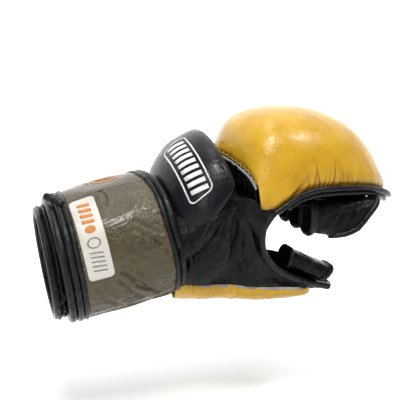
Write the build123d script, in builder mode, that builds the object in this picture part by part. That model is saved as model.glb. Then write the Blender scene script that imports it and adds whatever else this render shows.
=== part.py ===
from build123d import *
import os
from math import cos, radians, sin

# Left-hand sparring glove. The origin is the centre of the wrist opening, +X runs to the
# fingers, +Z is the back of the hand and -Y is the thumb side. Millimetres throughout.

# Wrist cuff: an oval tube that climbs towards the hand
cuff_tilt = 13
cuff_end_tilt = 8
strap_rear_tilt = 9.5
strap_front_tilt = 21
ovality = 3
binding_radius = 1.6
piping_radius = 2

# Half widths of the cuff's layers, from the arm outwards
cavity = 36.5
lining = 37.3
sleeve_inner = 37.5
sleeve_outer = 39.3
base_inner = 39.5
base_outer = 41.2
loop_outer = 42
hook_inner = 42.5
flap_inner = 43.2
strap_outer = 45
label_outer = 45.6

# Places along the cuff's axis, from the wrist opening
cuff_front = 72
base_rear = 19
base_front = 73.5
wrap_rear = 23.6
wrap_front = 68.9
patch_rear = 28
patch_front = 65

label_rear = 26.6
label_front = 40

# Angles round the cuff: 0 is the far side, 90 the top, 180 the thumb side
flap_hinge_angle = 111
flap_end_angle = 248
wrap_end_angle = -104
label_start_angle = 115
label_end_angle = 188

# Hand shell: x, z, tilt, half width and half height of its outer sections
hand_sections = [
    (77, 17.8, 21, 42.5, 38.5),
    (95, 16.5, 12, 43.5, 36),
    (115, 15, 5, 45.5, 34),
    (137, 15, 0, 47, 32),
    (165, 18, 0, 46.5, 27),
]
panel_wall = 2
lining_wall = 1.2
pad_clearance = 0.6
roof_height = 33
floor_height = -8
web_front = 137
palm_front = 150
little_side_front = 151
lining_front = 134

# Knuckle pad: x, base height, top height and half width of its upright sections
knuckle_sections = [
    (109, 68, 77, 30),
    (116, 60, 88, 41),
    (124, 52, 94, 47),
    (134, 45.2, 97.5, 52),
    (150, 44.8, 99.5, 55),
    (168, 44.4, 97.5, 55),
    (186, 44.4, 90.5, 53),
    (202, 44.4, 80, 49.5),
    (216, 44.4, 67, 43),
    (226, 44.4, 56, 33),
    (233, 44.4, 49, 18),
]
cover_wall = 2.4
knuckle_piping_height = 42.1

# Wrist guard: x, z, tilt, half width and height of its rear and front arches
guard_sections = [(84, 20.5, 17.5, 46.5, 48), (119, 48, 33.5, 48, 40)]

# Thumb: pad sections as x, y, base height, bottom height and half width
thumb_sections = [
    (93, -24, -11, -22, 14),
    (106, -24, -11, -26.5, 20),
    (125, -24, -12, -28, 22),
    (145, -24, -14, -28, 21),
    (158, -23, -15.5, -25.5, 17),
    (168, -22, -17.5, -21.5, 9),
]
thumb_slope = -18
thumb_root = (156, -25, -0.8)
cradle_length = 34
thumb_sleeve_start = 6
thumb_sleeve_length = 32
thumb_half_width = 14
thumb_half_height = 9.6
thumb_wall = 1.2

# Finger sleeves
finger_names = ["index", "middle", "ring", "little"]
finger_rows = [-33, -11.5, 10, 31.5]
finger_rear = 168.5
finger_half_width = 9.8
finger_wall = 1.5
finger_top = 39
rim_depth = 2.2


def section_plane(x, z, tilt, y=0):
    """Plane across the glove: its own X runs to the far side, its Y up and back by the tilt."""
    return Plane(
        origin=(x, y, z), x_dir=(0, 1, 0), z_dir=(cos(radians(tilt)), 0, sin(radians(tilt)))
    )


def cuff_plane(distance, tilt=cuff_tilt):
    """Section plane at a distance along the cuff's axis."""
    x = distance * cos(radians(cuff_tilt))
    z = distance * sin(radians(cuff_tilt))
    return section_plane(x, z, tilt)


def cuff_layer(inner, outer, rear, front, rear_tilt=cuff_tilt, front_tilt=cuff_tilt):
    """Oval tube round the cuff's axis between two slanting ends."""
    with BuildPart() as layer:
        with BuildSketch(cuff_plane(-30)):
            Ellipse(outer, outer - ovality)
            Ellipse(inner, inner - ovality, mode=Mode.SUBTRACT)
        extrude(amount=140)
        split(bisect_by=cuff_plane(rear, rear_tilt), keep=Keep.TOP)
        split(bisect_by=cuff_plane(front, front_tilt), keep=Keep.BOTTOM)
    return layer.part


def cuff_sector(start, end):
    """Wedge round the cuff's axis, from one angle to another."""
    reach = 90
    steps = 8
    angles = [radians(start + (end - start) * i / steps) for i in range(steps + 1)]
    corners = [(reach * cos(a), reach * sin(a)) for a in angles]
    with BuildPart() as sector:
        with BuildSketch(cuff_plane(-40)):
            with BuildLine():
                Polyline((0, 0), *corners, close=True)
            make_face()
        extrude(amount=160)
    return sector.part


def oval_piping(plane, half_width, half_height, radius, start=0, sweep_angle=360):
    """Round cord along an oval in a section plane."""
    with BuildPart() as cord:
        with BuildLine(plane) as path:
            EllipticalCenterArc((0, 0), half_width, half_height, start, arc_size=sweep_angle)
        with BuildSketch(Plane(origin=path.line @ 0, z_dir=path.line % 0)):
            Circle(radius)
        sweep()
    return cord.part


def cuff_piping(distance, tilt, half_width, radius=piping_radius, start=0, sweep_angle=360):
    """Piping round the cuff, on the slanting end of a layer."""
    slant = cos(radians(tilt - cuff_tilt))
    height = (half_width - ovality) / slant
    plane = cuff_plane(distance, tilt)
    return oval_piping(plane, half_width, height, radius, start, sweep_angle)


def hand_loft(grow):
    """Solid of the hand shell's outside, grown or shrunk all round."""
    with BuildPart() as solid:
        for x, z, tilt, half_width, half_height in hand_sections:
            with BuildSketch(section_plane(x, z, tilt)):
                Ellipse(half_width + grow, half_height + grow)
        loft()
    return solid.part


def knuckle_loft(inset):
    """Dome of the knuckle pad, shrunk by an inset."""
    with BuildPart() as solid:
        last = len(knuckle_sections) - 1
        for i, (x, base, top, half_width) in enumerate(knuckle_sections):
            shift = inset if i == 0 else -inset if i == last else 0
            low = base + inset
            height = max(top - inset - low, 1.5)
            with BuildSketch(section_plane(x + shift, low, 0)):
                with BuildLine():
                    EllipticalCenterArc((0, 0), half_width - inset, height, 0, arc_size=180)
                    Line((inset - half_width, 0), (half_width - inset, 0))
                make_face()
        loft()
    return solid.part


def guard_loft(inset):
    """Arch-topped block of the wrist guard, shrunk by an inset."""
    with BuildPart() as solid:
        for (x, z, tilt, half_width, height), side in zip(guard_sections, (1, -1)):
            arch = section_plane(x, z, tilt).offset(side * inset)
            with BuildSketch(arch):
                with BuildLine():
                    EllipticalCenterArc((0, 0), half_width - inset, height - inset, 0, arc_size=180)
                    Line((inset - half_width, 0), (half_width - inset, 0))
                make_face()
        loft()
    return solid.part


def thumb_pad_loft(inset):
    """Long dome of the thumb pad, bulging down, shrunk by an inset."""
    with BuildPart() as solid:
        last = len(thumb_sections) - 1
        for i, (x, y, base, bottom, half_width) in enumerate(thumb_sections):
            shift = inset if i == 0 else -inset if i == last else 0
            high = base - inset / 2
            depth = max(high - bottom - inset, 1)
            with BuildSketch(section_plane(x + shift, high, 0, y)):
                with BuildLine():
                    EllipticalCenterArc((0, 0), half_width - inset, depth, 180, arc_size=180)
                    Line((half_width - inset, 0), (inset - half_width, 0))
                make_face()
        loft()
    return solid.part


def thumb_tube(start, length, grow_outer, grow_inner):
    """Oval tube along the thumb, sized from the thumb's outside."""
    root = section_plane(thumb_root[0], thumb_root[2], thumb_slope, thumb_root[1])
    with BuildPart() as tube:
        with BuildSketch(root.offset(start)):
            Ellipse(thumb_half_width + grow_outer, thumb_half_height + grow_outer)
            Ellipse(
                thumb_half_width + grow_inner, thumb_half_height + grow_inner, mode=Mode.SUBTRACT
            )
        extrude(amount=length)
    return tube.part


def finger_form(row, inset, rear):
    """Bent finger shape in side view, rounded along its sides, shrunk by an inset."""
    top = finger_top - inset
    front = 214.5 - inset
    with BuildPart() as form:
        with BuildSketch(Plane.XZ.offset(-row)):
            with BuildLine():
                Line((rear, 13 + inset), (rear, top))
                Line((rear, top), (201, top))
                RadiusArc((201, top), (front, 25.5), 14)
                Line((front, 25.5), (front, 20))
                RadiusArc((front, 20), (204, 8 + inset), 12)
                Line((204, 8 + inset), (rear, 13 + inset))
            make_face()
        extrude(amount=finger_half_width - inset, both=True)
        sides = form.edges().group_by(Axis.Y)
        fillet(sides[0] + sides[-1], radius=7 - inset)
    return form.part


def write(part, label):
    part.label = label
    export_step(part, f"parts/{label}.step")


# Cuff: the lining, the black sleeve, its bound end and the strap's layers
with BuildPart() as cuff_lining:
    add(cuff_layer(cavity, lining, 1, cuff_front, cuff_end_tilt, strap_front_tilt))
write(cuff_lining.part, "cuff_lining")

with BuildPart() as inner_cuff:
    add(cuff_layer(sleeve_inner, sleeve_outer, 2, base_front, cuff_end_tilt, strap_front_tilt))
write(inner_cuff.part, "inner_cuff")

with BuildPart() as cuff_end_binding:
    binding_half_width = (sleeve_inner + sleeve_outer) / 2
    add(cuff_piping(2 - binding_radius, cuff_end_tilt, binding_half_width, binding_radius))
    split(bisect_by=cuff_plane(0.9, cuff_end_tilt), keep=Keep.BOTTOM)
write(cuff_end_binding.part, "cuff_end_binding")

with BuildPart() as strap_base:
    add(cuff_layer(base_inner, base_outer, base_rear, base_front, strap_rear_tilt, strap_front_tilt))
write(strap_base.part, "strap_base")

with BuildPart() as strap_base_piping:
    base_cord = base_inner + piping_radius
    add(cuff_piping(base_rear - piping_radius, strap_rear_tilt, base_cord))
    add(cuff_piping(base_front + piping_radius, strap_front_tilt, base_cord))
write(strap_base_piping.part, "strap_base_piping")

with BuildPart() as strap_wrap:
    add(cuff_layer(base_outer, strap_outer, wrap_rear, wrap_front, strap_rear_tilt, strap_front_tilt))
    add(cuff_sector(wrap_end_angle, flap_hinge_angle - 1), mode=Mode.INTERSECT)
write(strap_wrap.part, "strap_wrap")

with BuildPart() as strap_wrap_piping:
    wrap_cord = base_outer + piping_radius + 0.2
    wrap_turn = flap_hinge_angle - wrap_end_angle - 3
    wrap_arc = {"start": wrap_end_angle + 1, "sweep_angle": wrap_turn}
    add(cuff_piping(wrap_rear - piping_radius, strap_rear_tilt, wrap_cord, **wrap_arc))
    add(cuff_piping(wrap_front + piping_radius, strap_front_tilt, wrap_cord, **wrap_arc))
write(strap_wrap_piping.part, "strap_wrap_piping")

with BuildPart() as loop_patch:
    add(cuff_layer(base_outer, loop_outer, patch_rear, patch_front))
    add(cuff_sector(flap_hinge_angle + 30, flap_end_angle - 2), mode=Mode.INTERSECT)
write(loop_patch.part, "loop_patch")

# Strap flap: the end of the strap that peels off
with BuildPart() as strap_flap:
    add(cuff_layer(flap_inner, strap_outer, wrap_rear, wrap_front, strap_rear_tilt, strap_front_tilt))
    add(cuff_sector(flap_hinge_angle + 1, flap_end_angle), mode=Mode.INTERSECT)
write(strap_flap.part, "strap_flap")

with BuildPart() as strap_flap_piping:
    flap_cord = base_outer + piping_radius + 0.6
    flap_turn = flap_end_angle - flap_hinge_angle - 2
    flap_arc = {"start": flap_hinge_angle + 2, "sweep_angle": flap_turn}
    add(cuff_piping(wrap_rear - piping_radius, strap_rear_tilt, flap_cord, **flap_arc))
    add(cuff_piping(wrap_front + piping_radius, strap_front_tilt, flap_cord, **flap_arc))
write(strap_flap_piping.part, "strap_flap_piping")

with BuildPart() as hook_patch:
    add(cuff_layer(hook_inner, flap_inner, patch_rear + 2, patch_front - 2))
    add(cuff_sector(flap_hinge_angle + 50, flap_end_angle - 3), mode=Mode.INTERSECT)
write(hook_patch.part, "hook_patch")

with BuildPart() as label_patch:
    add(cuff_layer(strap_outer, label_outer, label_rear, label_front))
    add(cuff_sector(label_start_angle, label_end_angle), mode=Mode.INTERSECT)
write(label_patch.part, "label_patch")

# Hand shell: lining and four leather panels
shell_outer = hand_loft(0)
shell_inner = hand_loft(-panel_wall)
with BuildPart() as hand_lining:
    add(shell_inner)
    add(hand_loft(-panel_wall - lining_wall), mode=Mode.SUBTRACT)
    split(bisect_by=Plane.YZ.offset(lining_front), keep=Keep.BOTTOM)
write(hand_lining.part, "hand_lining")

with BuildPart() as leather_shell:
    add(shell_outer)
    add(shell_inner, mode=Mode.SUBTRACT)

with BuildPart() as back_panel:
    add(leather_shell.part)
    split(bisect_by=Plane.XY.offset(roof_height), keep=Keep.TOP)
write(back_panel.part, "back_panel")

with BuildPart() as palm_panel:
    add(leather_shell.part)
    split(bisect_by=Plane.XY.offset(floor_height), keep=Keep.BOTTOM)
    split(bisect_by=Plane.YZ.offset(palm_front), keep=Keep.BOTTOM)
write(palm_panel.part, "palm_panel")

with BuildPart() as little_side_panel:
    add(leather_shell.part)
    split(bisect_by=Plane.XY.offset(roof_height), keep=Keep.BOTTOM)
    split(bisect_by=Plane.XY.offset(floor_height), keep=Keep.TOP)
    split(bisect_by=Plane.XZ, keep=Keep.BOTTOM)
    split(bisect_by=Plane.YZ.offset(little_side_front), keep=Keep.BOTTOM)
write(little_side_panel.part, "little_side_panel")

with BuildPart() as thumb_side_panel:
    add(leather_shell.part)
    split(bisect_by=Plane.XZ, keep=Keep.TOP)
    with BuildSketch(Plane.XZ) as panel_outline:
        with BuildLine():
            Polyline(
                (60, roof_height),
                (web_front, roof_height),
                (web_front, 8),
                (palm_front, floor_height),
                (60, floor_height),
                close=True,
            )
        make_face()
    extrude(amount=60, mode=Mode.INTERSECT)
write(thumb_side_panel.part, "thumb_side_panel")

# Pipings of the two openings in the shell
opening_cord = 1.3
with BuildPart() as web_piping:
    web_plane = section_plane(web_front + opening_cord, 15, 0)
    add(oval_piping(web_plane, 45.8, 30.8, opening_cord, 146, 44))
write(web_piping.part, "web_piping")

with BuildPart() as palm_piping:
    palm_plane = section_plane(palm_front + opening_cord, 16.3, 0)
    add(oval_piping(palm_plane, 45.8, 29, opening_cord, 250, 42))
write(palm_piping.part, "palm_piping")

# Wrist guard
hand_core = hand_loft(pad_clearance)
with BuildPart() as wrist_guard_cover:
    add(guard_loft(0))
    add(guard_loft(cover_wall), mode=Mode.SUBTRACT)
    add(hand_core, mode=Mode.SUBTRACT)
write(wrist_guard_cover.part, "wrist_guard_cover")

with BuildPart() as wrist_guard_foam:
    add(guard_loft(cover_wall))
    add(hand_core, mode=Mode.SUBTRACT)
write(wrist_guard_foam.part, "wrist_guard_foam")

# Knuckle pad: base panel on the hand, then cover, foam and gel
base_panel_outer = pad_clearance + 1.2
with BuildPart() as pad_base_panel:
    add(hand_loft(base_panel_outer))
    add(hand_core, mode=Mode.SUBTRACT)
    split(bisect_by=Plane.XY.offset(40), keep=Keep.TOP)
    split(bisect_by=Plane.YZ.offset(132), keep=Keep.TOP)
write(pad_base_panel.part, "pad_base_panel")

pad_core = hand_loft(base_panel_outer)
pad_room = knuckle_loft(cover_wall)
with BuildPart() as knuckle_pad_cover:
    add(knuckle_loft(0))
    add(pad_room, mode=Mode.SUBTRACT)
    add(pad_core, mode=Mode.SUBTRACT)
write(knuckle_pad_cover.part, "knuckle_pad_cover")

with BuildPart() as knuckle_gel_layer:
    with BuildSketch(Plane.XY.offset(51)):
        with Locations((162, 0)):
            Ellipse(30, 38)
    extrude(amount=8)
    fillet(knuckle_gel_layer.edges(), radius=2.5)
write(knuckle_gel_layer.part, "knuckle_gel_layer")

with BuildPart() as knuckle_pad_foam:
    add(pad_room)
    add(pad_core, mode=Mode.SUBTRACT)
    add(knuckle_gel_layer.part, mode=Mode.SUBTRACT)
write(knuckle_pad_foam.part, "knuckle_pad_foam")

with BuildPart() as knuckle_pad_piping:
    rim_plane = Plane.XY.offset(knuckle_piping_height)
    with BuildLine(rim_plane) as rim:
        EllipticalCenterArc((150, 0), 81, 53, -90, arc_size=180)
    with BuildSketch(Plane(origin=rim.line @ 0, z_dir=rim.line % 0)):
        Circle(1.6)
    sweep()
write(knuckle_pad_piping.part, "knuckle_pad_piping")

# Thumb: pad, trough under the thumb and the short sleeve inside it
with BuildPart() as thumb_pad_cover:
    add(thumb_pad_loft(0))
    add(thumb_pad_loft(2), mode=Mode.SUBTRACT)
    add(hand_core, mode=Mode.SUBTRACT)
write(thumb_pad_cover.part, "thumb_pad_cover")

with BuildPart() as thumb_pad_foam:
    add(thumb_pad_loft(2))
    add(hand_core, mode=Mode.SUBTRACT)
write(thumb_pad_foam.part, "thumb_pad_foam")

thumb_plane = section_plane(thumb_root[0], thumb_root[2], thumb_slope, thumb_root[1])
thumb_floor = Plane(origin=thumb_plane.origin, z_dir=thumb_plane.y_dir)
with BuildPart() as thumb_cradle:
    add(thumb_tube(0, cradle_length, 0, -thumb_wall))
    split(bisect_by=thumb_floor, keep=Keep.BOTTOM)
write(thumb_cradle.part, "thumb_cradle")

with BuildPart() as thumb_sleeve:
    gap = 0.2
    add(thumb_tube(thumb_sleeve_start, thumb_sleeve_length, -thumb_wall - gap, -2 * thumb_wall - gap))
write(thumb_sleeve.part, "thumb_sleeve")

with BuildPart() as thumb_sleeve_piping:
    rim_offset = thumb_sleeve_start + thumb_sleeve_length + opening_cord
    rim_inset = 1.5 * thumb_wall + 0.2
    end_plane = thumb_plane.offset(rim_offset)
    rim_width = thumb_half_width - rim_inset
    rim_height = thumb_half_height - rim_inset
    add(oval_piping(end_plane, rim_width, rim_height, opening_cord))
write(thumb_sleeve_piping.part, "thumb_sleeve_piping")

with BuildPart() as thumb_cradle_piping:
    for side in (-1, 1):
        edge = side * (thumb_half_width - thumb_wall / 2)
        with BuildSketch(thumb_plane):
            with Locations((edge, opening_cord)):
                Circle(opening_cord - 0.1)
    extrude(amount=thumb_sleeve_start - 1)
write(thumb_cradle_piping.part, "thumb_cradle_piping")

# Finger sleeves: open at the rear and, past the bend, at the palm side
for finger, row in zip(finger_names, finger_rows):
    with BuildPart() as finger_sleeve:
        add(finger_form(row, 0, finger_rear))
        add(finger_form(row, finger_wall, finger_rear - 12), mode=Mode.SUBTRACT)
        with BuildSketch(Plane.XY.offset(-5)):
            with Locations((193, row)):
                RectangleRounded(20, 2 * (finger_half_width - finger_wall) - 1, 4)
        extrude(amount=24, mode=Mode.SUBTRACT)
    write(finger_sleeve.part, f"{finger}_sleeve")

    with BuildPart() as sleeve_rim:
        rim_start = Plane.YZ.offset(finger_rear - rim_depth)
        rim_middle = (finger_top + 13) / 2
        rim_rise = finger_top - 13
        with BuildSketch(rim_start):
            with Locations((row, rim_middle)):
                RectangleRounded(2 * finger_half_width + 1, rim_rise + 1, 7)
                RectangleRounded(
                    2 * (finger_half_width - finger_wall),
                    rim_rise - 2 * finger_wall,
                    5.5,
                    mode=Mode.SUBTRACT,
                )
        extrude(amount=rim_depth)
    write(sleeve_rim.part, f"{finger}_sleeve_piping")
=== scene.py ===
from math import cos, exp, pi, radians, sin, tan

import bpy
import numpy as np
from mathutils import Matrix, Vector


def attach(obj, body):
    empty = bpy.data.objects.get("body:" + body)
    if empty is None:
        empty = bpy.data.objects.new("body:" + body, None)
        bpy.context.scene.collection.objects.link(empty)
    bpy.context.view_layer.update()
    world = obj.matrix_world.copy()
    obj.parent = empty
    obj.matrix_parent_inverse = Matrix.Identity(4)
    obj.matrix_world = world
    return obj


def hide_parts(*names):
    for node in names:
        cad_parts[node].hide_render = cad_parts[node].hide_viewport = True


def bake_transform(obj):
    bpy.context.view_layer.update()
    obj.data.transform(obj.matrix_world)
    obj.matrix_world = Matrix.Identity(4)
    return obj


# Visual model of a left-hand sparring glove. Shapes are worked out in millimetres, in the
# CAD frame (+X fingers, +Z back of the hand, -Y thumb side), and become metres in mesh().
MM = 0.001
FULL = 2 * pi
SIDE = np.array([0.0, 1.0, 0.0])
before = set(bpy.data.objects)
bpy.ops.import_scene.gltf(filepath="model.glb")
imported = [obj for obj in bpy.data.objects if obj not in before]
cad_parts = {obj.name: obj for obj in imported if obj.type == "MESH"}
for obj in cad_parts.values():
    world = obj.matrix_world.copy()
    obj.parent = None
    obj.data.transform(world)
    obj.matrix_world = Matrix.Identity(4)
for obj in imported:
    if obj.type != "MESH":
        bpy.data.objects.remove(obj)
studio = bpy.context.scene
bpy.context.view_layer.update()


# ---------------- small maths
def wave_hash(ix, iy, iz, seed):
    """Repeatable random number from 0 to 1 for each lattice point."""
    word = 0xFFFFFFFF
    n = (ix * 374761393 + iy * 668265263 + iz * 1274126177 + seed * 974634777) & word
    n = ((n ^ (n >> 13)) * 1103515245) & word
    return ((n ^ (n >> 16)) & 0xFFFF) / 0xFFFF


def noise(x, y, z=0.0, seed=1):
    """Smooth value noise from -1 to 1."""
    x, y, z = np.broadcast_arrays(np.asarray(x, float), y, z)
    ix, iy, iz = (np.floor(c).astype(np.int64) for c in (x, y, z))
    fx, fy, fz = x - ix, y - iy, z - iz
    fx, fy, fz = (f * f * f * (f * (f * 6 - 15) + 10) for f in (fx, fy, fz))
    total = 0
    for dx in (0, 1):
        for dy in (0, 1):
            for dz in (0, 1):
                weight = (fx if dx else 1 - fx) * (fy if dy else 1 - fy) * (fz if dz else 1 - fz)
                total = total + weight * wave_hash(ix + dx, iy + dy, iz + dz, seed)
    return total * 2 - 1


def fbm(x, y, z=0.0, seed=1):
    """Three octaves of noise."""
    total, gain = 0, 0.55
    for i in range(3):
        total = total + gain * noise(x * 2**i, y * 2**i, z * 2**i, seed + i)
        gain *= 0.5
    return total


def crease(x, y, z=0.0, seed=1, sharp=3.0):
    """Thin branching lines, 1 on a line and 0 away from it."""
    return np.clip(1 - np.abs(noise(x, y, z, seed)) * sharp, 0, 1) ** 1.5


def smooth(lo, hi, x):
    """Eased step from 0 at lo to 1 at hi."""
    t = np.clip((np.asarray(x, float) - lo) / (hi - lo), 0, 1)
    return t * t * (3 - 2 * t)


def bump(x, centre, width):
    """Bell curve, 1 at its centre."""
    return np.exp(-(((np.asarray(x, float) - centre) / width) ** 2))


def arch(t):
    """Half sine: 0 at t = 0 and 1, and 1 half-way."""
    return np.sin(pi * t)


def between(a, b, t):
    """From a at t = 0 to b at t = 1."""
    return a * (1 - t) + b * t


def signed_power(x, power):
    """Power that keeps the sign, for superellipses."""
    return np.sign(x) * np.abs(x) ** power


def unit(v):
    return v / np.maximum(np.linalg.norm(v, axis=-1, keepdims=True), 1e-9)


def off_segment(x, y, dx, dy):
    """Distance from the segment (0, 0) to (dx, dy), and the part of the way along it."""
    along = np.clip((x * dx + y * dy) / (dx * dx + dy * dy), 0, 1)
    return np.hypot(x - along * dx, y - along * dy), along


def through(t, knots):
    """Smooth curve through knots, at t from 0 to 1 (Catmull-Rom, evenly spaced)."""
    knots = np.asarray(knots, float)
    last = len(knots) - 1
    t = np.clip(np.asarray(t, float), 0, 1) * last
    i = np.clip(np.floor(t).astype(int), 0, last - 1)
    f = (t - i)[..., None]
    p0, p1 = knots[np.clip(i - 1, 0, last)], knots[i]
    p2, p3 = knots[i + 1], knots[np.clip(i + 2, 0, last)]
    a = 2 * p1 + (p2 - p0) * f + (2 * p0 - 5 * p1 + 4 * p2 - p3) * f**2
    return 0.5 * (a + (3 * p1 - p0 - 3 * p2 + p3) * f**3)


def run_along(points):
    """Distance from the start of a line to each of its points."""
    return np.r_[0, np.cumsum(np.linalg.norm(np.diff(points, axis=0), axis=1))]


def at_run(at, run, values):
    """Points or directions of a line at distances from its start."""
    return np.stack([np.interp(at, run, values[:, k]) for k in range(3)], axis=-1)


def even(points, count):
    """The same line with evenly spaced points."""
    points = np.asarray(points, float)
    run = run_along(points)
    return at_run(np.linspace(0, run[-1], count), run, points)


def line_through(knots, count):
    return even(through(steps(count * 4), knots), count)


def steps(count):
    """Even steps from 0 to 1."""
    return np.linspace(0, 1, count)


def angles(count):
    """Even angles once round."""
    return np.linspace(0, FULL, count, endpoint=False)


def around(columns, rows):
    """Grid of angles once round, and of parts of the way across from 0 to 1."""
    return np.meshgrid(angles(columns), steps(rows))


def round_fbm(theta, scale, z, seed):
    """Noise for a round piece, which meets itself without a seam."""
    return fbm(np.cos(theta) * scale, np.sin(theta) * scale, z, seed)


# ---------------- meshes
def mesh(name, points, faces, material, body=None):
    data = bpy.data.meshes.new(name)
    data.from_pydata((np.asarray(points).reshape(-1, 3) * MM).tolist(), [], faces)
    data.validate()
    for polygon in data.polygons:
        polygon.use_smooth = True
    data.materials.append(material)
    piece = bpy.data.objects.new(name, data)
    studio.collection.objects.link(piece)
    if body:
        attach(piece, body)
    return piece


def dress(piece, slot, *nodes):
    """Hides the CAD nodes that a piece stands for; the piece and slot arguments are not used."""
    if nodes:
        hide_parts(*nodes)


def grid_faces(rows, cols, wrap=False, start=0, flip=False):
    faces = []
    for r in range(rows - 1):
        for c in range(cols if wrap else cols - 1):
            d = (c + 1) % cols
            quad = (r * cols + c, r * cols + d, (r + 1) * cols + d, (r + 1) * cols + c)
            faces.append(tuple(start + k for k in (quad[::-1] if flip else quad)))
    return faces


def grid_normals(grid, wrap=False):
    if wrap:
        across = np.roll(grid, -1, axis=1) - np.roll(grid, 1, axis=1)
    else:
        across = np.gradient(grid, axis=1)
    return unit(np.cross(across, np.gradient(grid, axis=0)))


def end_caps(rows, cols, start=0, flip=False):
    """Faces that close the two ends of a tube of rings."""
    head = tuple(start + k for k in range(cols))
    tail = tuple(start + (rows - 1) * cols + k for k in range(cols))
    return [head, tail[::-1]] if flip else [head[::-1], tail]


def shell(name, grid, thickness, material, body=None, wrap=False, out=1.0):
    """Leather of a given thickness whose outer face is the grid. out turns the normals round."""
    rows, cols = grid.shape[:2]
    inner = grid - grid_normals(grid, wrap) * out * thickness
    count = rows * cols
    turned = out < 0
    faces = grid_faces(rows, cols, wrap, 0, turned)
    faces += grid_faces(rows, cols, wrap, count, not turned)
    border = [(r * cols + (c + 1) % cols, r * cols + c, r == 0)
              for c in range(cols if wrap else cols - 1) for r in (0, rows - 1)]
    if not wrap:
        border += [(r * cols + c, (r + 1) * cols + c, c == 0)
                   for r in range(rows - 1) for c in (0, cols - 1)]
    for a, b, first in border:
        side = (a, b, b + count, a + count)
        faces.append(side if first != turned else side[::-1])
    points = np.concatenate([grid.reshape(-1, 3), inner.reshape(-1, 3)])
    return mesh(name, points, faces, material, body)


def tube_grid(path, radius, sides, closed=False):
    """Rings of a round cord along a path; the radius may vary along it."""
    if closed:
        tangent = unit(np.roll(path, -1, axis=0) - np.roll(path, 1, axis=0))
    else:
        tangent = unit(np.gradient(path, axis=0))
    side = unit(np.cross(tangent[0], (0.31, 0.17, 0.93)))
    angle = angles(sides)[:, None]
    rings = []
    for point, forward, r in zip(path, tangent, np.broadcast_to(radius, len(path))):
        side = unit(side - forward * np.dot(side, forward))
        rings.append(point + r * (np.cos(angle) * side + np.sin(angle) * np.cross(forward, side)))
    return np.array(rings)


def tube(name, path, radius, material, body=None, sides=14, closed=False):
    """Round cord with rounded ends."""
    if not closed:
        radius = np.broadcast_to(np.asarray(radius, float), len(path)).copy()
        left = 1 - np.array([0.0, 0.35, 0.7, 0.92])
        head, tail = unit(path[0] - path[1]), unit(path[-1] - path[-2])
        lead = path[0] + head * radius[0] * left[:, None]
        trail = (path[-1] + tail * radius[-1] * left[:, None])[::-1]
        grow = np.maximum(np.sqrt(1 - left**2), 0.06)
        path = np.concatenate([lead, path, trail])
        radius = np.concatenate([grow * radius[0], radius, (grow * radius[-1])[::-1]])
    rings = tube_grid(path, radius, sides, closed)
    rows, cols = rings.shape[:2]
    faces = grid_faces(rows, cols, True)
    if closed:
        # the last ring joins the first, turned by as many sides as the rings have twisted
        last = (rows - 1) * cols
        turn = int(np.argmin(np.linalg.norm(rings[0] - rings[-1][0], axis=1)))
        for c in range(cols):
            d = (c + 1) % cols
            faces.append((last + c, last + d, (d + turn) % cols, (c + turn) % cols))
    else:
        faces += end_caps(rows, cols)
    return mesh(name, rings, faces, material, body)


def joined(name, pieces, body):
    """One mesh from several."""
    bpy.ops.object.select_all(action="DESELECT")
    for piece in pieces:
        piece.select_set(True)
    bpy.context.view_layer.objects.active = pieces[0]
    bpy.ops.object.join()
    whole = bpy.context.view_layer.objects.active
    whole.name = name
    whole.data.name = name
    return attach(whole, body)


def stitches(name, path, outward, material, body, length, gap, radius, zigzag):
    """Row of thread stitches lying on a surface, each a short bent capsule."""
    run = run_along(path)
    sides, rows = 6, 5
    swing = np.linspace(-1, 1, rows)[:, None]
    rise = arch(steps(rows))[:, None] * radius * 1.1 - radius * 0.25
    thick = radius * np.array([0.45, 0.95, 1.0, 0.95, 0.45])
    points, faces = [], []
    for i, start in enumerate(np.arange(0.4, run[-1] - length, length + gap)):
        at = np.linspace(start, start + length, rows)
        centre = at_run(at, run, path)
        normal = unit(at_run(at, run, outward))
        across = np.cross(normal, unit(centre[-1] - centre[0]))
        centre = centre + across * swing * (1 if i % 2 else -1) * zigzag + normal * rise
        base = i * rows * sides
        points.append(tube_grid(centre, thick, sides).reshape(-1, 3))
        faces += grid_faces(rows, sides, True, base) + end_caps(rows, sides, base)
    return mesh(name, np.concatenate(points), faces, material, body)


# ---------------- materials
def node_tree(name):
    material = bpy.data.materials.new(name)
    material.use_nodes = True
    tree = material.node_tree
    place = tree.nodes.new("ShaderNodeTexCoord").outputs["Object"]
    return material, tree, tree.nodes["Principled BSDF"], place


def set_inputs(node, **values):
    """Sets a node's sockets by name, with _ for a space."""
    for name, value in values.items():
        node.inputs[name.replace("_", " ")].default_value = value
    return node


def texture(tree, place, kind, **values):
    node = set_inputs(tree.nodes.new("ShaderNodeTex" + kind), **values)
    tree.links.new(place, node.inputs["Vector"])
    return node


def noise_node(tree, place, scale, detail=3.0, rough=0.55):
    return texture(tree, place, "Noise", Scale=scale, Detail=detail, Roughness=rough).outputs["Fac"]


def ramp(tree, value, *stops):
    """Colour ramp; each stop is a position with a colour or a grey."""
    node = tree.nodes.new("ShaderNodeValToRGB")
    while len(node.color_ramp.elements) < len(stops):
        node.color_ramp.elements.new(0.5)
    for element, (at, colour) in zip(node.color_ramp.elements, stops):
        element.position = at
        element.color = (*colour, 1) if isinstance(colour, tuple) else (colour, colour, colour, 1)
    tree.links.new(value, node.inputs["Fac"])
    return node.outputs["Color"]


def mix(tree, factor, a, b, how="MIX"):
    """Colour mix; each input is a socket, a number or a colour."""
    node = tree.nodes.new("ShaderNodeMix")
    node.data_type = "RGBA"
    node.blend_type = how
    for socket, value in ((node.inputs[0], factor), (node.inputs[6], a), (node.inputs[7], b)):
        if hasattr(value, "links"):
            tree.links.new(value, socket)
        else:
            socket.default_value = value if isinstance(value, float) else (*value, 1)
    return node.outputs[2]


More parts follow.
